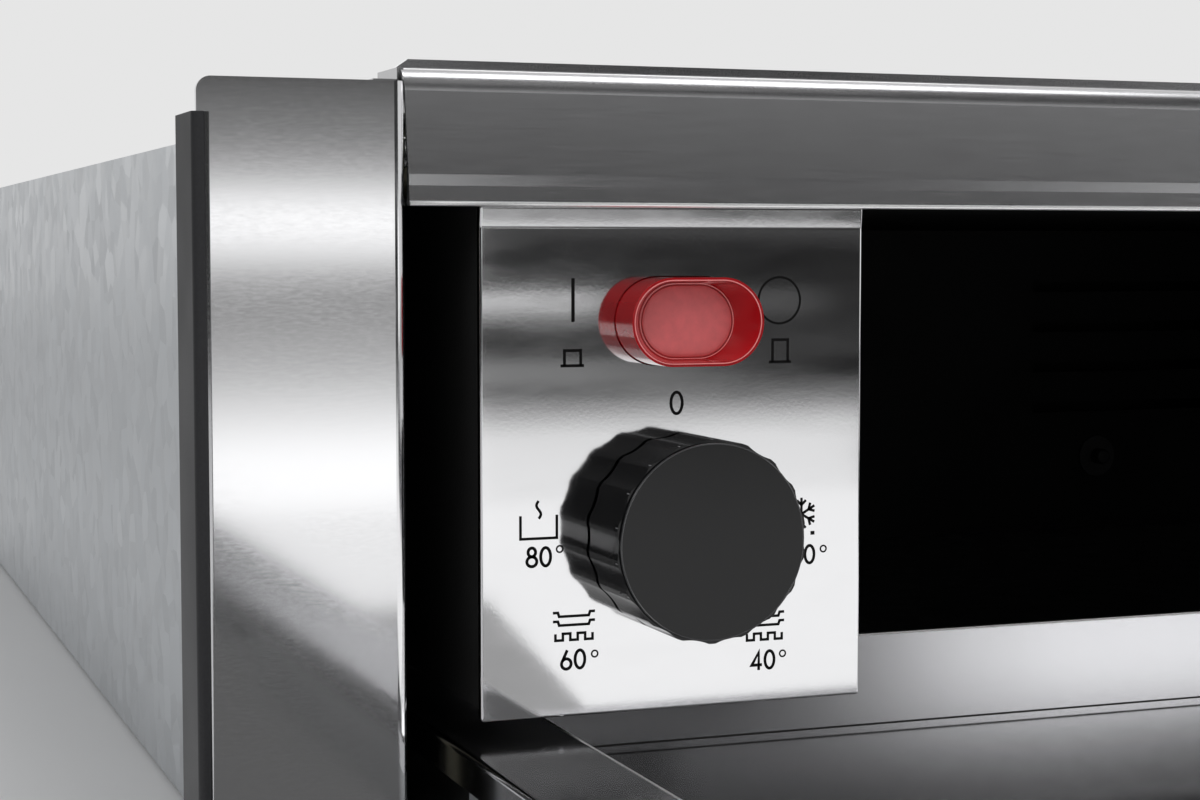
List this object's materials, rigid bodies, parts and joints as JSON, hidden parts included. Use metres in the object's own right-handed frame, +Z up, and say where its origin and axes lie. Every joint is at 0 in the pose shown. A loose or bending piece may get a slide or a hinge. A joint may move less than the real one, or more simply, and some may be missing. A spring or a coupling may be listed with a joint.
{
  "type": "built-in warming drawer",
  "caption": "Built-in warming drawer: steel tray on telescopic slides in a heated housing, with a temperature knob and an on-off push button behind the front.",
  "frame": {"origin": "centre of the housing's underside, which rests on the floor of the niche", "axes": "+Z up, +Y towards the back wall of the niche, +X to the right seen from the front; the drawer pulls out along -Y"},
  "size_m": [0.597, 0.9608, 0.1419],
  "materials": {
    "galvanised_steel": "satin",
    "brushed_steel": "satin",
    "polished_steel": "mirror",
    "tray_steel": "satin",
    "black_enamel": "satin",
    "black_paint": "matt",
    "trim_grey": "matt",
    "zinc_steel": "satin",
    "bearing_steel": "polished",
    "mineral_wool": "matt",
    "motor_steel": "satin",
    "fan_steel": "satin",
    "element_steel": "satin",
    "black_gloss_plastic": "gloss",
    "red_button_plastic": "translucent gloss",
    "brown_plastic": "matt",
    "white_plastic": "matt",
    "black_plastic": "matt",
    "foil_pad": "matt",
    "spring_steel": "polished"
  },
  "bodies": {
    "housing": {"base_pan": "galvanised_steel", "top_cover": "galvanised_steel", "rear_panel": "galvanised_steel", "bottom_rail": "brushed_steel", "top_bar": "brushed_steel", "bar_end_screws": "zinc_steel", "chamber_liner": "black_enamel", "liner_back_wall": "black_enamel", "insulation_blanket": "mineral_wool", "rear_baffle": "black_enamel", "fan_motor": "motor_steel", "heating_element": "element_steel", "thermal_cutout": "brown_plastic", "control_plate": "polished_steel", "control_box": "black_paint", "thermostat_body": "brown_plastic", "switch_body": "black_plastic", "button_spring": "spring_steel", "catch_body": "black_plastic", "cable_gland": "black_plastic", "gland_locknut": "black_plastic", "terminal_block": "white_plastic", "left_stile": "brushed_steel", "right_stile": "brushed_steel", "left_edge_trim": "trim_grey", "right_edge_trim": "trim_grey", "left_slide_bracket": "galvanised_steel", "right_slide_bracket": "galvanised_steel", "left_slide_fixed_rail": "zinc_steel", "right_slide_fixed_rail": "zinc_steel"},
    "drawer": {"drawer_tray": "tray_steel", "tray_back_wall": "tray_steel", "tray_front_wall": "tray_steel", "front_skin": "brushed_steel", "front_inner_panel": "zinc_steel", "front_pad": "foil_pad", "tray_front_screws": "zinc_steel", "left_slide_drawer_rail": "zinc_steel", "right_slide_drawer_rail": "zinc_steel"},
    "left_middle_member": {"left_slide_middle_rail": "zinc_steel"},
    "right_middle_member": {"right_slide_middle_rail": "zinc_steel"},
    "left_outer_cage": {"left_outer_ball_cage": "zinc_steel", "left_outer_balls": "bearing_steel"},
    "right_outer_cage": {"right_outer_ball_cage": "zinc_steel", "right_outer_balls": "bearing_steel"},
    "left_inner_cage": {"left_inner_ball_cage": "zinc_steel", "left_inner_balls": "bearing_steel"},
    "right_inner_cage": {"right_inner_ball_cage": "zinc_steel", "right_inner_balls": "bearing_steel"},
    "selector": {"selector_knob": "black_gloss_plastic", "selector_shaft": "zinc_steel"},
    "push_button": {"power_button": "red_button_plastic"},
    "fan": {"fan_impeller": "fan_steel", "fan_shaft": "bearing_steel"},
    "catch": {"catch_plunger": "white_plastic"}
  },
  "joints": [
    {"name": "drawer_slide", "type": "slide", "parent": "housing", "child": "drawer", "axis": [0, -1, 0], "range_m": [-0.3868, 0.04]},
    {"name": "left_middle_slide", "type": "slide", "parent": "housing", "child": "left_middle_member", "axis": [0, -1, 0], "range_m": [-0.1934, 0.02]},
    {"name": "left_outer_cage_slide", "type": "slide", "parent": "housing", "child": "left_outer_cage", "axis": [0, -1, 0], "range_m": [-0.0967, 0.01]},
    {"name": "left_inner_cage_slide", "type": "slide", "parent": "left_middle_member", "child": "left_inner_cage", "axis": [0, -1, 0], "range_m": [-0.0967, 0.01]},
    {"name": "right_middle_slide", "type": "slide", "parent": "housing", "child": "right_middle_member", "axis": [0, -1, 0], "range_m": [-0.1934, 0.02]},
    {"name": "right_outer_cage_slide", "type": "slide", "parent": "housing", "child": "right_outer_cage", "axis": [0, -1, 0], "range_m": [-0.0967, 0.01]},
    {"name": "right_inner_cage_slide", "type": "slide", "parent": "right_middle_member", "child": "right_inner_cage", "axis": [0, -1, 0], "range_m": [-0.0967, 0.01]},
    {"name": "selector_turn", "type": "hinge", "parent": "housing", "child": "selector", "pos_m": [-0.2216, -0.269, 0.06947], "axis": [0, 1, 0], "range_deg": [0, 270]},
    {"name": "button_press", "type": "slide", "parent": "housing", "child": "push_button", "axis": [0, 1, 0], "range_m": [0, 0.004], "stiffness_N_per_m": 600, "springref_m": -0.002, "deforming": ["button_spring"]},
    {"name": "fan_spin", "type": "hinge", "parent": "housing", "child": "fan", "pos_m": [0, 0.2, 0.064], "axis": [0, 1, 0], "continuous": true},
    {"name": "catch_press", "type": "slide", "parent": "housing", "child": "catch", "axis": [0, 1, 0], "range_m": [0, 0.004], "stiffness_N_per_m": 500, "springref_m": -0.002}
  ],
  "couplings": [
    {"joint": "left_middle_slide", "follows": "drawer_slide", "ratio": 0.5},
    {"joint": "left_outer_cage_slide", "follows": "drawer_slide", "ratio": 0.25},
    {"joint": "left_inner_cage_slide", "follows": "drawer_slide", "ratio": 0.25},
    {"joint": "right_middle_slide", "follows": "drawer_slide", "ratio": 0.5},
    {"joint": "right_outer_cage_slide", "follows": "drawer_slide", "ratio": 0.25},
    {"joint": "right_inner_cage_slide", "follows": "drawer_slide", "ratio": 0.25}
  ]
}
